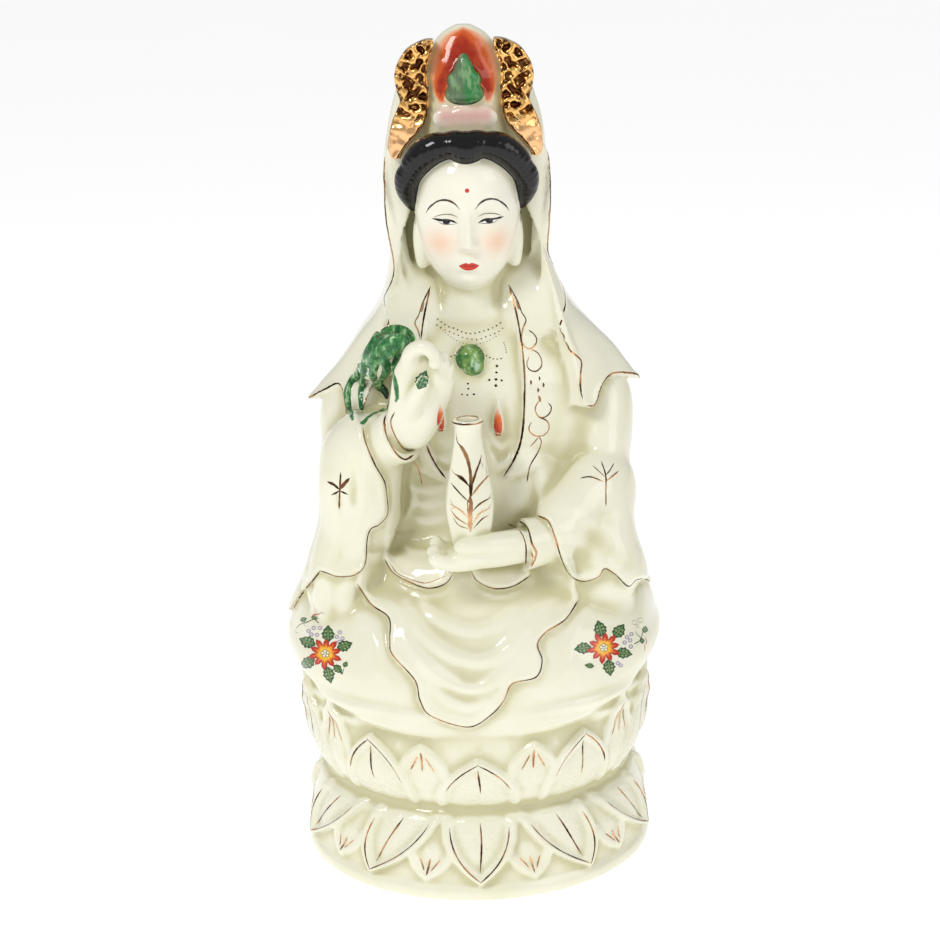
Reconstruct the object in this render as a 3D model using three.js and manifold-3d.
// A seated Guanyin in glazed porcelain, cast in one with the double lotus seat that carries it.
// The figure faces -Y. The origin is the centre of the flat underside, and +Z is up. Millimetres.
import * as THREE from "three";
import { LoftGeometry } from "three/addons/geometries/LoftGeometry.js";
import { mergeVertices } from "three/addons/utils/BufferGeometryUtils.js";
import Module from "manifold-3d";

// The lotus seat.
const PLINTH_RADIUS = 86.5;
const PLINTH_HEIGHT = 8;
const WAIST_RADIUS = 76;
const WAIST_HEIGHT = 43;
const SEAT_RADIUS = 84;
const SEAT_HEIGHT = 84;
const PETALS = 10; // large petals in each tier, with a small one between each two
const PETAL_RIM = 3; // how far a petal's rim stands out of the seat
const PETAL_LEAN = 0.3; // how far the lower petals lean towards the sides, in radians
const ROBE_OVERLAP = 24; // how far the seat's core runs up inside the robe

// The figure, from the seat to the top of the crown.
const FIGURE_HEIGHT = 321.5;

// The flask on the lower hand.
const VASE_HEIGHT = 61.5;
const VASE_BELLY_RADIUS = 11.2;
const VASE_NECK_RADIUS = 6.3;
const VASE_LIP_RADIUS = 7.1;
const VASE_FOOT_RADIUS = 8.2;
const VASE_BORE_RADIUS = 4;
const VASE_BORE_DEPTH = 5;

// The figure's free forms are laid out at this height, above a seat at this level.
const DRAWN_HEIGHT = 321.5;
const DRAWN_SEAT = 84;

const wasm = await Module();
wasm.setup();

const scale = FIGURE_HEIGHT / DRAWN_HEIGHT;
const at = (x, y, z) => new THREE.Vector3(x * scale, y * scale, SEAT_HEIGHT + (z - DRAWN_SEAT) * scale);

const clamp = THREE.MathUtils.clamp;
const mix = THREE.MathUtils.lerp;
const smooth = THREE.MathUtils.smoothstep;
const bump = (value, centre, half) => Math.exp(-(((value - centre) / half) ** 2));
const steps = (from, to, count) => Array.from({ length: count + 1 }, (_, i) => mix(from, to, i / count));
const FRONT = -Math.PI / 2;
const ACROSS = [1, 0, 0];

// A smooth curve through stations [place, value, value ...], read at any place along it.
function profile(stations) {
  const last = stations.length - 1;
  const slope = (from, to, k) => (to[k] - from[k]) / (to[0] - from[0]);
  return (place) => {
    const i = clamp(stations.findIndex((station) => station[0] > place) - 1, 0, last - 1);
    const start = place >= stations[last][0] ? last - 1 : i;
    const [a, b] = [stations[start], stations[start + 1]];
    const before = stations[Math.max(start - 1, 0)];
    const after = stations[Math.min(start + 2, last)];
    const span = b[0] - a[0];
    const t = clamp((place - a[0]) / span, 0, 1);
    return a.slice(1).map((value, j) => {
      const [rise, fall] = [slope(before, b, j + 1) * span, slope(a, after, j + 1) * span];
      const [t2, t3] = [t ** 2, t ** 3];
      const ends = (2 * t3 - 3 * t2 + 1) * value + (3 * t2 - 2 * t3) * b[j + 1];
      return ends + (t3 - 2 * t2 + t) * rise + (t3 - t2) * fall;
    });
  };
}

const curve = (stations) => {
  const read = profile(stations);
  return (place) => read(place)[0];
};

// A closed mesh as a solid, whichever way its faces are wound.
function solidOf(geometry) {
  const bare = new THREE.BufferGeometry().setIndex(geometry.index);
  bare.setAttribute("position", geometry.attributes.position);
  const merged = mergeVertices(bare, 1e-3);
  const vertProperties = merged.attributes.position.array;
  const triVerts = new Uint32Array(merged.index.array);
  const made = (order) => new wasm.Manifold(new wasm.Mesh({ numProp: 3, vertProperties, triVerts: order }));
  const solid = made(triVerts);
  return solid.volume() > 0 ? solid : made(triVerts.reverse());
}

const loft = (sections) => solidOf(new LoftGeometry(sections, { closed: true, capStart: true, capEnd: true }));
const union = (solids) => solids.reduce((whole, solid) => whole.add(solid));

// A body of rounded level sections. Its stations are [z, x and y of the middle, half width, front, back, squareness].
// fold(angle, z) adds to its radius; the front is at an angle of -90 degrees.
class Mass {
  constructor(stations, fold = () => 0) {
    this.levels = stations.map((station) => station[0]);
    this.at = profile(stations);
    this.fold = fold;
  }
  edge(angle, z, lift = 0) {
    const [x, y, half, front, back, power] = this.at(z);
    const [c, s] = [Math.cos(angle), Math.sin(angle)];
    const reach = (Math.abs(c / half) ** power + Math.abs(s / (s < 0 ? front : back)) ** power) ** (-1 / power);
    const radius = Math.max(reach + this.fold(angle, z) + lift, 0.5);
    return at(x + radius * c, y + radius * s, z);
  }
  // The depth of the front at a place across it.
  face(x, z) {
    const [middle, y, half, front, , power] = this.at(z);
    const share = Math.min(Math.abs((x - middle) / half), 0.98);
    return y - front * (1 - share ** power) ** (1 / power);
  }
  // The angle at which the front passes a place across it.
  turnAt(x, z, lift) {
    const [middle, , half, front, , power] = this.at(z);
    const share = clamp((x - middle) / (half + lift), -0.99, 0.99);
    const ahead = (front + lift) * (1 - Math.abs(share) ** power) ** (1 / power);
    return FRONT + Math.atan2(share * (half + lift), ahead);
  }
  // Rows are shared out evenly between the stations, so they lie close where the stations do.
  solid(around, rows, shape = (point) => point) {
    const level = curve(this.levels.map((z, i) => [i, z]));
    const turn = Array.from({ length: around }, (_, i) => (i / around) * 2 * Math.PI);
    const ring = (i) => turn.map((angle) => shape(this.edge(angle, level(i))));
    return loft(steps(0, this.levels.length - 1, rows).map(ring));
  }
  // Cloth on the body between two angles that change with height, from a hem to a level above it. Its columns lie
  // closest at its two edges.
  cloth({ from, to, hem, top, lift, sunk, columns, rows }) {
    const sections = steps(0, Math.PI, columns).map((turn) => {
      const share = (1 - Math.cos(turn)) / 2;
      const heights = steps(hem(share), top, rows);
      const place = (z, out) => this.edge(mix(from(z), to(z), share), z, out);
      return [...heights.map((z) => place(z, lift(share, z))), ...heights.reverse().map((z) => place(z, -sunk))];
    });
    return loft(sections.reverse());
  }
}

// Cloth on the front of the figure, between a left and a right edge. face gives its depth, and lift its thickness.
function panel({ low, high, left, right, face, lift, sunk = 6, rows, columns }) {
  return loft(
    steps(low, high, rows).map((z) => {
      const across = steps(left(z), right(z), columns);
      const outer = across.map((x) => at(x, face(x, z) - lift(x, z), z));
      const behind = [right(z), left(z)].map((x) => at(x, face(x, z) + sunk, z));
      return [...outer, ...behind];
    }),
  );
}

// A limb along points [x, y, z, half width, half thickness], rounded at its ends. wide is the way its width lies.
function limb(points, around, rings, wide = [0, 0, 1]) {
  const path = new THREE.CatmullRomCurve3(points.map(([x, y, z]) => at(x, y, z)));
  const girth = profile(points.map((p, i) => [i / (points.length - 1), p[3], p[4] ?? p[3]]));
  const sections = steps(0, 1, rings).map((share) => {
    const t = (1 - Math.cos(Math.PI * share)) / 2;
    const along = path.getTangent(t);
    const across = new THREE.Vector3(...wide).projectOnPlane(along).normalize();
    const through = new THREE.Vector3().crossVectors(along, across);
    const round = Math.max(Math.sqrt(1 - (2 * t - 1) ** 8), 0.15) * scale;
    const [half, thick] = girth(t);
    return Array.from({ length: around }, (_, k) => {
      const angle = (k / around) * 2 * Math.PI;
      return path
        .getPoint(t)
        .addScaledVector(across, half * round * Math.cos(angle))
        .addScaledVector(through, thick * round * Math.sin(angle));
    });
  });
  return loft(sections);
}

function ellipsoid([x, y, z], [rx, ry, rz], around, rows) {
  const ball = new THREE.SphereGeometry(scale, around, rows);
  ball.rotateX(Math.PI / 2).scale(rx, ry, rz);
  const { x: cx, y: cy, z: cz } = at(x, y, z);
  return solidOf(ball.translate(cx, cy, cz));
}

// The lotus seat: a round core with a waist, a tier of petals turned down, and a tier turned up.
const CORE = [
  [0, PLINTH_RADIUS],
  [PLINTH_HEIGHT * 0.6, PLINTH_RADIUS],
  [PLINTH_HEIGHT, PLINTH_RADIUS - 2],
  [mix(PLINTH_HEIGHT, WAIST_HEIGHT, 0.45), PLINTH_RADIUS - 3.5],
  [mix(PLINTH_HEIGHT, WAIST_HEIGHT, 0.85), mix(PLINTH_RADIUS, WAIST_RADIUS, 0.65)],
  [WAIST_HEIGHT, WAIST_RADIUS],
  [mix(WAIST_HEIGHT, SEAT_HEIGHT, 0.18), mix(WAIST_RADIUS, SEAT_RADIUS, 0.5)],
  [mix(WAIST_HEIGHT, SEAT_HEIGHT, 0.5), SEAT_RADIUS],
  [SEAT_HEIGHT + ROBE_OVERLAP, SEAT_RADIUS],
];
const coreRadius = curve(CORE);

function seatCore() {
  const outline = CORE.map(([z, radius]) => new THREE.Vector2(radius, z));
  const [bottom, top] = [new THREE.Vector2(0, 0), new THREE.Vector2(0, SEAT_HEIGHT + ROBE_OVERLAP)];
  const core = new THREE.LatheGeometry([bottom, ...outline, top], PETALS * 3);
  return solidOf(core.rotateX(Math.PI / 2));
}

// A petal on the core, from its root to its pointed tip, with a raised rim round a scooped middle.
function petal({ root, tip, rootAngle, tipAngle, halfWidth, rim, stand, rows, columns }) {
  const sections = steps(0, 1, rows).map((t) => {
    const z = mix(root, tip, t);
    const radius = coreRadius(z);
    const half = halfWidth * Math.max((0.95 + 0.25 * t) * (1 - t ** 2.3), 0.06);
    const place = (side, lift) => {
      const angle = FRONT + mix(rootAngle, tipAngle, t) + (side * half) / radius;
      return new THREE.Vector3((radius + lift) * Math.cos(angle), (radius + lift) * Math.sin(angle), z);
    };
    const across = steps(-1, 1, columns);
    const outer = across.map((side) => place(side, stand * t * t + rim * (0.3 + 0.7 * side ** 2)));
    return [...outer, place(0.96, -3), place(-0.96, -3)];
  });
  return loft(tip > root ? sections : sections.reverse());
}

// The lower petals lean from the front towards the sides. The upper ones reach higher up the robe at the sides.
function seatPetals() {
  const pitch = (2 * Math.PI) / PETALS;
  const halfWidth = (PLINTH_RADIUS * pitch) / 2;
  const rise = SEAT_HEIGHT - WAIST_HEIGHT;
  const leanAt = (angle) => {
    const turned = Math.min(angle, 2 * Math.PI - angle);
    return Math.abs(Math.sin(angle)) < 1e-6 ? 0 : Math.sign(Math.sin(angle)) * PETAL_LEAN * bump(turned, 1.26, 0.96);
  };
  const petals = [];
  for (let i = 0; i < PETALS; i += 1) {
    const angle = i * pitch;
    const between = angle + pitch / 2;
    const seen = Math.cos(between) > -0.5; // the back has only the large petals
    petals.push(
      petal({
        root: WAIST_HEIGHT - 1,
        tip: PLINTH_HEIGHT,
        rootAngle: angle - leanAt(angle),
        tipAngle: angle + leanAt(angle) * 0.2,
        halfWidth: halfWidth * 0.66,
        rim: PETAL_RIM,
        stand: 1.6,
        rows: 4,
        columns: 4,
      }),
      petal({
        root: WAIST_HEIGHT + 1,
        tip: WAIST_HEIGHT + rise * mix(0.72, 1.3, Math.sin(angle) ** 2),
        rootAngle: angle,
        tipAngle: angle,
        halfWidth: halfWidth * 0.74,
        rim: PETAL_RIM * 0.6,
        stand: 2.2,
        rows: 4,
        columns: 3,
      }),
    );
    if (!seen) continue;
    petals.push(
      petal({
        root: PLINTH_HEIGHT + 20,
        tip: PLINTH_HEIGHT + 1,
        rootAngle: between - leanAt(between) * 0.4,
        tipAngle: between,
        halfWidth: halfWidth * 0.44,
        rim: PETAL_RIM * 0.5,
        stand: 0.8,
        rows: 2,
        columns: 2,
      }),
      petal({
        root: WAIST_HEIGHT + rise * 0.3,
        tip: WAIST_HEIGHT + rise * mix(0.84, 1.35, Math.sin(between) ** 2),
        rootAngle: between,
        tipAngle: between,
        halfWidth: halfWidth * 0.5,
        rim: PETAL_RIM * 0.35,
        stand: 2,
        rows: 2,
        columns: 2,
      }),
    );
  }
  return petals;
}

// The crossed legs under the robe, and the apron of cloth that hangs between the knees.
const lap = new Mass(
  [
    [78, 0, 0, 84, 80, 80, 2.2],
    [86, 0, 0, 89, 87, 84, 2.3],
    [98, 0, 0, 92, 88, 86, 2.3],
    [110, 0, 0, 92, 87, 85.5, 2.3],
    [122, 0, 0, 90, 84.5, 82, 2.3],
    [134, 0, 0, 86.5, 77, 75, 2.3],
    [144, 0, 0, 80, 66, 66, 2.3],
    [151, 0, 0, 73, 54, 58, 2.2],
    [157, 0, 0, 64, 40, 50, 2.2],
  ],
  (angle, z) => {
    const turn = angle > Math.PI / 2 ? angle - 2 * Math.PI : angle;
    const knees = bump(turn, FRONT - 0.72, 0.42) + bump(turn, FRONT + 0.72, 0.42);
    return (4 * knees - 3 * bump(turn, FRONT, 0.3)) * bump(z, 112, 34);
  },
);
const ROBE_RISE = 24; // how much higher the robe's lower edge is at the knees than in front
const apronLeft = curve([
  [88, -9],
  [95, -21],
  [103, -26],
  [113, -28],
  [126, -38],
  [133, -39],
  [144, -40],
  [156, -50],
]);
const apronRight = curve([
  [88, 4],
  [95, 8],
  [102, 13],
  [110, 17],
  [113, 26],
  [121, 31],
  [129, 30],
  [141, 42],
  [156, 49],
]);

// Folds of cloth that hang between the knees, one below the other.
const swags = (x, z) =>
  [142, 130, 117, 103].reduce((sum, low) => sum + bump(z - 0.012 * (x + 2) ** 2, low - 5, 3.2), 0);

function legs() {
  const [hem, knee, half] = [at(0, 0, 78).z, at(0, 0, 120).z, 88 * scale];
  const raised = (point) => {
    const share = clamp((knee - point.z) / (knee - hem), 0, 1);
    return point.setZ(point.z + ROBE_RISE * scale * share * (point.x / half) ** 2);
  };
  return [
    lap.solid(26, 7, raised),
    ellipsoid([-1, -34, 152], [46, 28, 15], 16, 8),
    panel({
      low: 88,
      high: 155,
      left: apronLeft,
      right: apronRight,
      face: (x, z) => lap.face(x, z),
      lift: (x, z) => 1.6 - 1.4 * smooth(z, 140, 155) + swags(x, z),
      rows: 7,
      columns: 4,
    }),
  ];
}

// The trunk, a little folded behind.
const folded = (depth) => (angle, z) => {
  const behind = Math.sin(angle) > 0.1;
  return behind ? depth * Math.cos(angle * 9) * smooth(z, 128, 170) : 0;
};
const trunk = new Mass(
  [
    [128, 0, 0, 66, 34, 54, 2.3],
    [146, 0, 0, 66, 40, 53, 2.3],
    [166, 0, 0, 66, 42, 52, 2.4],
    [188, 1, 0, 66, 41, 50, 2.4],
    [210, 3, 0, 66, 40, 48, 2.4],
    [230, 4, 0, 65, 40, 46, 2.3],
    [244, 5, 0, 62, 38, 45, 2.2],
    [256, 5, 0, 53, 34, 43, 2.1],
    [266, 4, 0, 43, 29, 41, 2.1],
    [275, 3, 0, 33, 23, 39, 2.1],
    [283, 2, 0, 22, 17, 34, 2],
  ],
  folded(1.5),
);

// The veil and the cape are one cloth: it falls from the crown, open round the face, and spreads over the shoulders.
const cloakLevels = [
  [214, 3, 0, 79.5, 46, 49, 2.1],
  [222, 3, 0, 79, 46, 49, 2.1],
  [229, 3.5, 0, 77, 46, 49, 2.1],
  [236, 4, 0, 73, 45, 49, 2.1],
  [243, 5, 0, 68.5, 43, 48, 2.1],
  [251, 5.5, 0, 63.5, 40, 47, 2.1],
  [260, 5, 0, 56, 37, 45, 2.3],
  [269, 4.5, 0, 48, 34, 43, 2.6],
  [278, 4, 0, 42.5, 32, 41.5, 2.8],
  [287, 3, 0, 39, 31, 40.5, 2.8],
  [296, 2.4, 0, 36.6, 30, 40, 2.8],
  [305, 2.3, 0, 37, 30, 40, 3],
  [320, 2, 0, 38.2, 30, 39.5, 3],
  [335, 2, 0, 38.3, 29, 38, 3],
  [347, 1.5, 0, 37, 26, 35, 2.8],
  [358, 2, 0, 35.5, 21, 30, 2.5],
  [370, 2, 0, 32.5, 17, 24, 2.2],
  [380, 2, 0, 28, 12, 17, 2.1],
  [386, 2, 0, 18, 6, 9, 2],
];
const cloak = new Mass(cloakLevels, folded(1));
// What fills the cloak behind the face: its own sections, a little inside it and flat in front.
const cloakFilling = new Mass(
  cloakLevels.slice(3).map(([z, x, y, half, front, back, power]) => {
    const inset = 3.5;
    return [z, x, y, half - inset, front * 0.45, back - inset, power];
  }),
);
// The places across the front where the cloak opens on each side, and the height of its hem from the right edge
// round the back to the left one.
const cloakRight = curve([
  [228, 54], [235, 52], [244, 52], [250, 52.5], [254, 48.5], [259, 44.5], [265, 42.5], [275, 46], [281, 45.5],
  [290, 41.5], [300, 38.5], [310, 39], [324, 40], [338, 40], [347, 38.5], [354, 33], [362, 24], [372, 13], [386, 5],
]);
const cloakLeft = curve([
  [228, -50], [235, -46], [242, -44], [250, -42.5], [260, -38.5], [268, -35.5], [274, -35.5], [279, -37.5],
  [285, -34.5], [291, -32.5], [298, -32.5], [307, -34], [319, -35.5], [340, -35.5], [348, -34], [355, -29],
  [363, -20], [372, -10], [386, -2],
]);
const cloakHem = curve([
  [0, 229], [0.02, 229], [0.05, 238], [0.08, 240], [0.115, 237.5], [0.15, 233], [0.24, 229], [0.5, 226],
  [0.76, 228], [0.85, 230], [0.885, 229], [0.91, 235], [0.935, 239], [0.96, 232], [0.98, 227], [1, 229],
]);

// The trunk with its upper arms, and the cloth over it.
function shoulders() {
  const tips = (share) => bump(share, 0.125, 0.03) + bump(share, 0.88, 0.03);
  const arm = (points) => limb(points, 9, 4, ACROSS);
  return [
    trunk.solid(16, 6),
    cloakFilling.solid(14, 7),
    cloak.cloth({
      from: (z) => cloak.turnAt(cloakRight(z), z, 1.2),
      to: (z) => cloak.turnAt(cloakLeft(z), z, 1.2) + 2 * Math.PI,
      hem: cloakHem,
      top: 384,
      lift: (share, z) => 1.6 + 3.5 * tips(share) * smooth(-z, -252, -232),
      sunk: 8,
      columns: 20,
      rows: 9,
    }),
    arm([[62, -6, 238, 13, 14], [64, -10, 226, 15, 16], [64, -16, 210, 14.5, 18], [62, -24, 195, 14, 18]]),
    arm([[-54, -6, 238, 13, 14], [-57, -12, 224, 14, 16], [-56, -18, 210, 14.5, 18], [-54, -26, 195, 16, 18]]),
  ];
}

// The sleeve of the raised arm, and the sleeve of the arm that holds the flask, with their turned-out cuffs.
function sleeves() {
  const hanging = new Mass([
    [130, -64, -44, 8, 9, 12, 2],
    [140, -64, -44, 14, 15, 20, 2.1],
    [150, -62, -42, 16, 18, 24, 2.2],
    [159, -59.5, -39, 16.5, 20, 26, 2.6],
    [168, -57, -37, 17, 21, 27, 3],
    [180, -53, -36, 19, 22, 28, 3.2],
    [191, -52.5, -36, 19.5, 22.5, 28, 3.2],
    [202, -51.5, -37, 20, 22.5, 28, 3],
    [212, -50, -38, 18.5, 21, 27, 2.3],
    [222, -47, -41, 14, 17, 20, 2.2],
    [230, -45, -43, 8, 10, 12, 2],
  ]);
  const draped = new Mass([
    [134, 64, -45, 10, 10, 14, 2],
    [142, 60, -45, 17, 15, 20, 2.2],
    [149, 57, -43, 24, 18, 23, 2.6],
    [157, 55, -41, 25.5, 20, 25, 2.8],
    [166, 56, -40, 23, 19, 26, 2.6],
    [177, 58, -38, 19, 17, 24, 2.4],
    [186, 60, -34, 15, 15, 20, 2.1],
    [192, 61, -30, 8, 9, 12, 2.1],
  ]);
  const forearm = (points) => limb(points, 9, 4);
  const cuff = (points) => limb(points, 9, 2);
  return [
    hanging.solid(12, 8),
    draped.solid(12, 6),
    forearm([[-60, -34, 204, 13, 14], [-52, -42, 211, 14.5, 15], [-44, -49, 216, 14], [-37, -53.5, 220, 12.5]]),
    forearm([[68, -14, 187, 21, 14], [62, -32, 185, 22.5, 16.5], [50, -44, 178, 19, 15], [31, -56.5, 170, 11.5]]),
    cuff([[-43, -49, 216, 12.7], [-37, -53.5, 220, 12.5], [-31, -57.5, 223.8, 13]]),
    cuff([[40, -53, 171, 11.8], [31, -57.5, 170.3, 11.6], [24, -60.6, 170, 12]]),
  ];
}

// The robe on the chest: a stole down each side, two pleats that loop over the belt, and soft folds beside the flask.
function robe() {
  const chest = { face: (x, z) => trunk.face(x, z), lift: () => 2.2, columns: 3, high: 283 };
  const right = panel({
    ...chest,
    low: 180,
    left: curve([[180, 7], [190, 12], [200, 16], [217, 22], [240, 25], [272, 24], [284, 22]]),
    right: curve([[180, 30], [200, 38], [234, 43], [253, 41], [272, 36], [284, 31]]),
    rows: 6,
  });
  const left = panel({
    ...chest,
    low: 205,
    left: curve([[205, -38], [234, -42], [253, -40], [272, -32], [284, -27]]),
    right: curve([[205, -18], [217, -19], [240, -22], [272, -21], [284, -18]]),
    rows: 5,
  });
  const loop = (points) => limb(points.map(([x, z]) => [x, lap.face(x, z) + 1, z, 1.8, 2.4]), 6, 5);
  return [
    right,
    left,
    loop([[-41, 163], [-37, 157], [-29, 152.5], [-21, 150], [-13, 152], [-9, 156]]),
    loop([[-1, 158], [3, 152.5], [10, 149.5], [18, 150], [25, 154]]),
    ellipsoid([-14, -36, 212], [10, 8, 13], 8, 5),
    ellipsoid([15, -36, 212], [10, 8, 13], 8, 5),
  ];
}

// The hand at the breast with its fingers curled over, and the flat hand that carries the flask.
function hands() {
  const palm = (points) => limb(points, 8, 4, ACROSS);
  const fingers = [
    [[-27, -63, 255, 4.6], [-25, -65.5, 264, 4], [-19, -68, 267, 3.8], [-14.5, -70, 263, 3.2], [-15.5, -72, 257, 3]],
    [[-16.5, -62.5, 246, 3.4], [-13, -65, 255, 3.3], [-10.8, -66.5, 261, 3], [-9.8, -67.5, 262, 2.8]],
    [[-14, -62, 242, 3.3], [-10.5, -63.5, 251, 3.2], [-8.8, -64.5, 257, 2.8], [-8.6, -65, 258.5, 2.6]],
    [[-15, -61.5, 235, 3.2], [-11, -62.5, 243, 3], [-9.2, -63.5, 249, 2.6], [-9, -64, 250.5, 2.4]],
    [[-27, -62, 233, 4.6], [-25, -67, 241, 4.2], [-21.5, -71, 248.5, 3.4], [-18.8, -73, 254.5, 2.7]],
    [[2, -60, 168, 4], [-8, -64, 168.5, 3.8], [-15, -67, 172, 3.4], [-17.5, -69, 177, 3]],
    [[2, -66, 167, 4.2], [-8, -70, 166.8, 3.9], [-16, -73, 169.5, 3.5], [-19, -74.5, 174.5, 3.1]],
    [[4, -72, 167, 4.2], [-6, -76, 166.4, 3.8], [-15, -78, 168, 3.4], [-19, -78.5, 172, 3]],
    [[27, -65, 173, 6], [14, -73, 174.8, 5.6], [2, -78, 175.6, 4.8], [-8.5, -79.5, 175.2, 3.7]],
  ];
  const level = [[31, -57, 170, 9, 8], [20, -62, 169.5, 9.5, 8.2], [8, -66.5, 169, 11, 7.6], [-4, -70, 168.8, 11, 6.4]];
  return [
    palm([[-33, -56.2, 219, 8.5, 7.5], [-30, -59, 229, 8.5, 7], [-28, -62.5, 252, 6.2, 5.5], [-26, -64, 261, 5, 4.6]]),
    palm([[-29, -57, 219, 8.5, 8], [-22, -60, 230, 8.5, 7], [-13.5, -63, 250, 6, 5], [-11.5, -64, 258, 4.6, 4.2]]),
    limb([...level, [-13, -72, 169.5, 8, 4.6]], 9, 5, [0, 1, 0]),
    ...fingers.map((points) => limb(points, 5, 3)),
  ];
}

// The flask: six soft sides, a belly above its foot, and a turned-out lip round a shallow mouth.
function vase() {
  const foot = at(-0.5, -69, 172);
  const around = Array.from({ length: 12 }, (_, i) => (i / 12) * 2 * Math.PI);
  const ring = (radius, z) =>
    around.map((angle) => {
      const r = radius * (1 + 0.03 * Math.cos(6 * angle));
      return new THREE.Vector3(r * Math.cos(angle), r * Math.sin(angle), z).add(foot);
    });
  const between = (share) => mix(VASE_BELLY_RADIUS, VASE_NECK_RADIUS, share);
  const body = loft([
    ring(VASE_FOOT_RADIUS, 0),
    ring(mix(VASE_FOOT_RADIUS, VASE_BELLY_RADIUS, 0.65), VASE_HEIGHT * 0.16),
    ring(VASE_BELLY_RADIUS, VASE_HEIGHT * 0.32),
    ring(between(0.2), VASE_HEIGHT * 0.5),
    ring(between(0.7), VASE_HEIGHT * 0.72),
    ring(VASE_NECK_RADIUS, VASE_HEIGHT * 0.92),
    ring(VASE_LIP_RADIUS, VASE_HEIGHT * 0.97),
    ring(VASE_LIP_RADIUS, VASE_HEIGHT),
  ]);
  const bore = loft([ring(VASE_BORE_RADIUS, VASE_HEIGHT - VASE_BORE_DEPTH), ring(VASE_BORE_RADIUS, VASE_HEIGHT + 1)]);
  return body.subtract(bore);
}

const FACE_MIDDLE = 2;

// The head: a smooth oval with a small nose and mouth, long ear lobes, a neck, and a roll of dressed hair.
function head() {
  const skull = new Mass([
    [285.5, 2, -20, 5, 9, 8, 2],
    [288, 2, -19.5, 10.5, 15, 14, 2],
    [293, 2, -18, 16, 19.5, 20, 2.1],
    [300, 2, -17, 20.5, 22.5, 24, 2.1],
    [308, 2, -16, 23.2, 24.8, 26, 2.1],
    [318, 2, -16, 24.6, 26, 27, 2.1],
    [330, 2, -16, 24.8, 26.5, 28, 2.1],
    [341, 2, -16, 23, 25.5, 27, 2.1],
    [350, 2, -15, 18, 20, 24, 2],
    [355, 2, -15, 10, 12, 16, 2],
  ]);
  const reach = curve([[0, 29.6], [0.17, 31.5], [0.35, 33.2], [0.8, 33], [1.05, 32], [1.25, 29], [1.43, 26]]);
  const band = curve([[0, 6], [0.35, 6.8], [0.8, 5.7], [1.05, 5.2], [1.25, 3.8], [1.43, 2]]);
  const hair = steps(-1.43, 1.43, 12).map((turn) => {
    const [out, half] = [reach(Math.abs(turn)), band(Math.abs(turn))];
    return [FACE_MIDDLE + out * Math.sin(turn), -32 + 5 * turn ** 2, 322 + out * Math.cos(turn), half, 8 - 2 * turn ** 2];
  });
  const sides = [-1, 1].flatMap((side) => {
    const x = (out) => FACE_MIDDLE + side * out;
    const ear = [[x(23), -18, 312, 3.2, 5], [x(22.5), -20, 299, 3.6, 4.6], [x(21.5), -20, 291.5, 3.4, 4]];
    const collar = [[x(23), 2, 300, 6, 3], [x(24), -11, 291, 8, 3.4], [x(26), -20, 279, 10, 4], [x(30), -27, 262, 11, 3]];
    return [limb(ear, 6, 3, ACROSS), limb(collar, 8, 4, ACROSS)];
  });
  const nose = [[2, -41, 322, 1.6, 2], [2, -44.5, 313, 2.2, 2.4], [2, -44.5, 309.5, 3.4, 2.6]];
  const neck = [[2, -14, 300, 13, 12], [2, -15, 287, 12.5], [1.5, -17, 277, 13.5, 12], [1, -18, 266, 22, 9]];
  return [
    skull.solid(12, 7),
    limb(neck, 9, 3, ACROSS),
    ...sides,
    limb(nose, 6, 3, ACROSS),
    ellipsoid([FACE_MIDDLE, -39.5, 301.5], [5, 2.6, 2.4], 7, 4),
    limb(hair, 6, 12),
  ];
}

// The crown: a rounded plaque with a small seated figure on a lotus, between two wings of scrolled cloud.
function crown() {
  const plaque = new Mass([
    [352, 2, -13, 20, 16, 12, 2.3],
    [362, 2, -13, 19, 15, 12, 2.3],
    [374, 2, -12, 18, 13, 11, 2.3],
    [385, 2, -12, 17, 12, 10, 2.2],
    [395, 2, -11, 14, 10, 9, 2],
    [402, 2, -11, 9, 7.5, 7, 2],
    [405.5, 2, -11, 3.6, 3.4, 3, 2],
  ]);
  // How far the wings' edges stand from the middle of the face, at each height.
  const outer = curve([[347, 35], [358, 34], [367, 30.5], [374, 31], [381, 31.5], [390, 27.5], [396, 21], [400, 15]]);
  const inner = curve([[347, 29], [354, 22], [362, 17.5], [374, 15], [385, 16], [394, 13], [400, 12]]);
  const wing = (left, right) =>
    panel({
      low: 347,
      high: 400,
      left,
      right,
      face: (x) => -25 + 0.011 * (x - FACE_MIDDLE) ** 2,
      lift: (x, z) => 0.8 * Math.cos(z * 0.6) * Math.cos(x * 0.7),
      sunk: 17,
      rows: 8,
      columns: 2,
    });
  const lotus = [-8.5, 0, 8.5].map((x) => {
    const place = [FACE_MIDDLE + x, -26.2 + 0.015 * x * x, 365.5 - 0.01 * x * x];
    return ellipsoid(place, [6, 3, 5], 6, 4);
  });
  return [
    plaque.solid(10, 5),
    wing((z) => FACE_MIDDLE - outer(z), (z) => FACE_MIDDLE - inner(z)),
    wing((z) => FACE_MIDDLE + inner(z), (z) => FACE_MIDDLE + outer(z)),
    ...lotus,
    ellipsoid([FACE_MIDDLE, -25.5, 376.5], [8.2, 4.2, 5], 8, 4),
    ellipsoid([FACE_MIDDLE, -25.5, 383], [6, 3.8, 6], 7, 4),
    ellipsoid([FACE_MIDDLE, -25.5, 390], [3, 2.8, 4], 6, 4),
  ];
}

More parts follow.
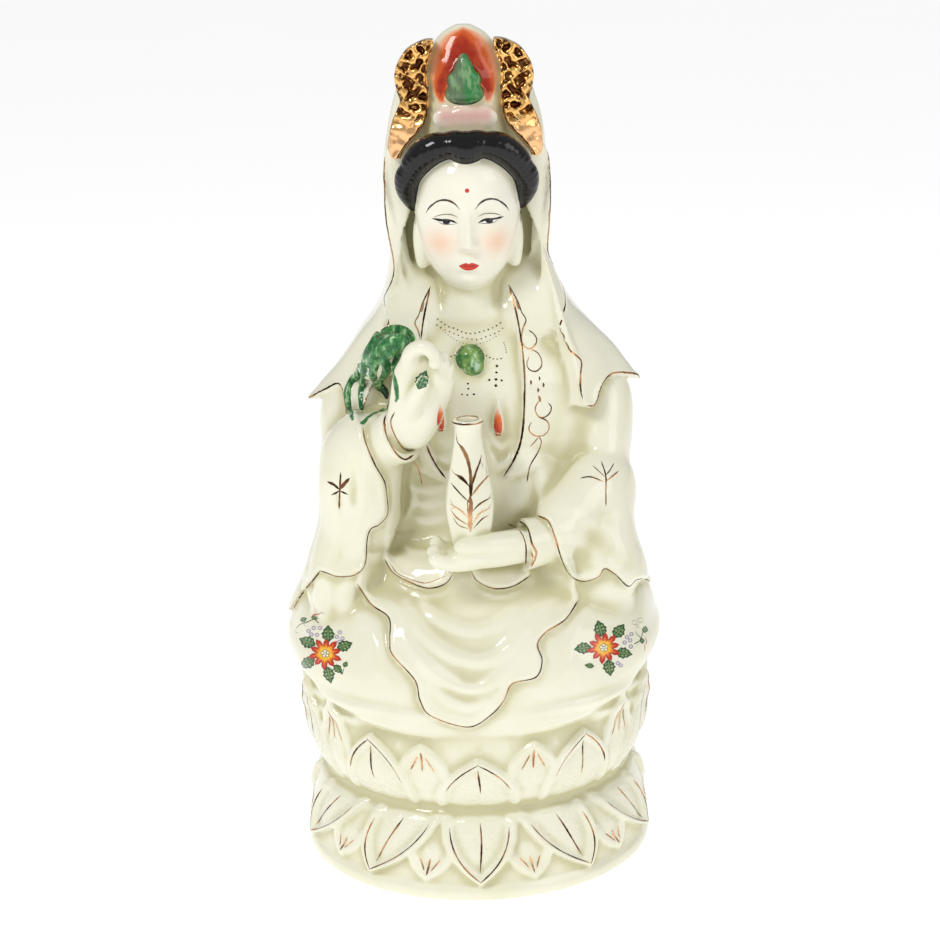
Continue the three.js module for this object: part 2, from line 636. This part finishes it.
// The jewel and drops on the chest, and the willow spray that falls over the arm.
function trimmings() {
  const onChest = (x, z) => trunk.face(x, z);
  const strand = (...points) => {
    const station = ([x, z], i) => {
      const share = i / (points.length - 1);
      return [x, -60 + 7 * share, z, 3.2 - 1.4 * share];
    };
    return limb(points.map(station), 5, 4);
  };
  return [
    ellipsoid([1, onChest(1, 252.5), 252.5], [7, 3, 6.5], 7, 4),
    ellipsoid([14, onChest(14, 226), 226], [2.6, 4, 9], 6, 5),
    ellipsoid([-13, onChest(-13, 229), 229], [2.4, 4, 7], 6, 5),
    limb([[-27, -58, 267, 3], [-35, -57, 264.5, 6, 3.5], [-42, -55, 256, 6.5, 3.5], [-45, -54, 247, 4, 3]], 6, 4),
    strand([-24, 268], [-35, 271], [-49, 259], [-54, 245], [-54, 233]),
    strand([-30, 269], [-42, 261], [-48, 248], [-49, 236]),
    strand([-28, 267], [-36, 260], [-41, 251], [-43, 245]),
    strand([-27, 266], [-33, 256], [-36, 246], [-38, 240]),
    strand([-27, 265], [-33, 245], [-40, 233], [-54, 224]),
  ];
}

const porcelain = new THREE.MeshStandardMaterial({ color: 0xe9e4c4, roughness: 0.14, metalness: 0 });

function meshOf(name, solid, material) {
  const { numProp, vertProperties, triVerts } = solid.getMesh();
  const count = vertProperties.length / numProp;
  const positions = new Float32Array(count * 3);
  for (let i = 0; i < count; i += 1) {
    positions.set(vertProperties.subarray(i * numProp, i * numProp + 3), i * 3);
  }
  const geometry = new THREE.BufferGeometry();
  geometry.setAttribute("position", new THREE.BufferAttribute(positions, 3));
  geometry.setIndex(new THREE.BufferAttribute(triVerts, 1));
  const mesh = new THREE.Mesh(geometry, material);
  mesh.name = name;
  return mesh;
}

const casting = union([
  seatCore(),
  ...seatPetals(),
  ...legs(),
  ...shoulders(),
  ...sleeves(),
  ...robe(),
  ...hands(),
  vase(),
  ...head(),
  ...crown(),
  ...trimmings(),
]);

const figure = new THREE.Group();
figure.add(meshOf("guanyin_on_lotus_seat", casting, porcelain));

export default figure;
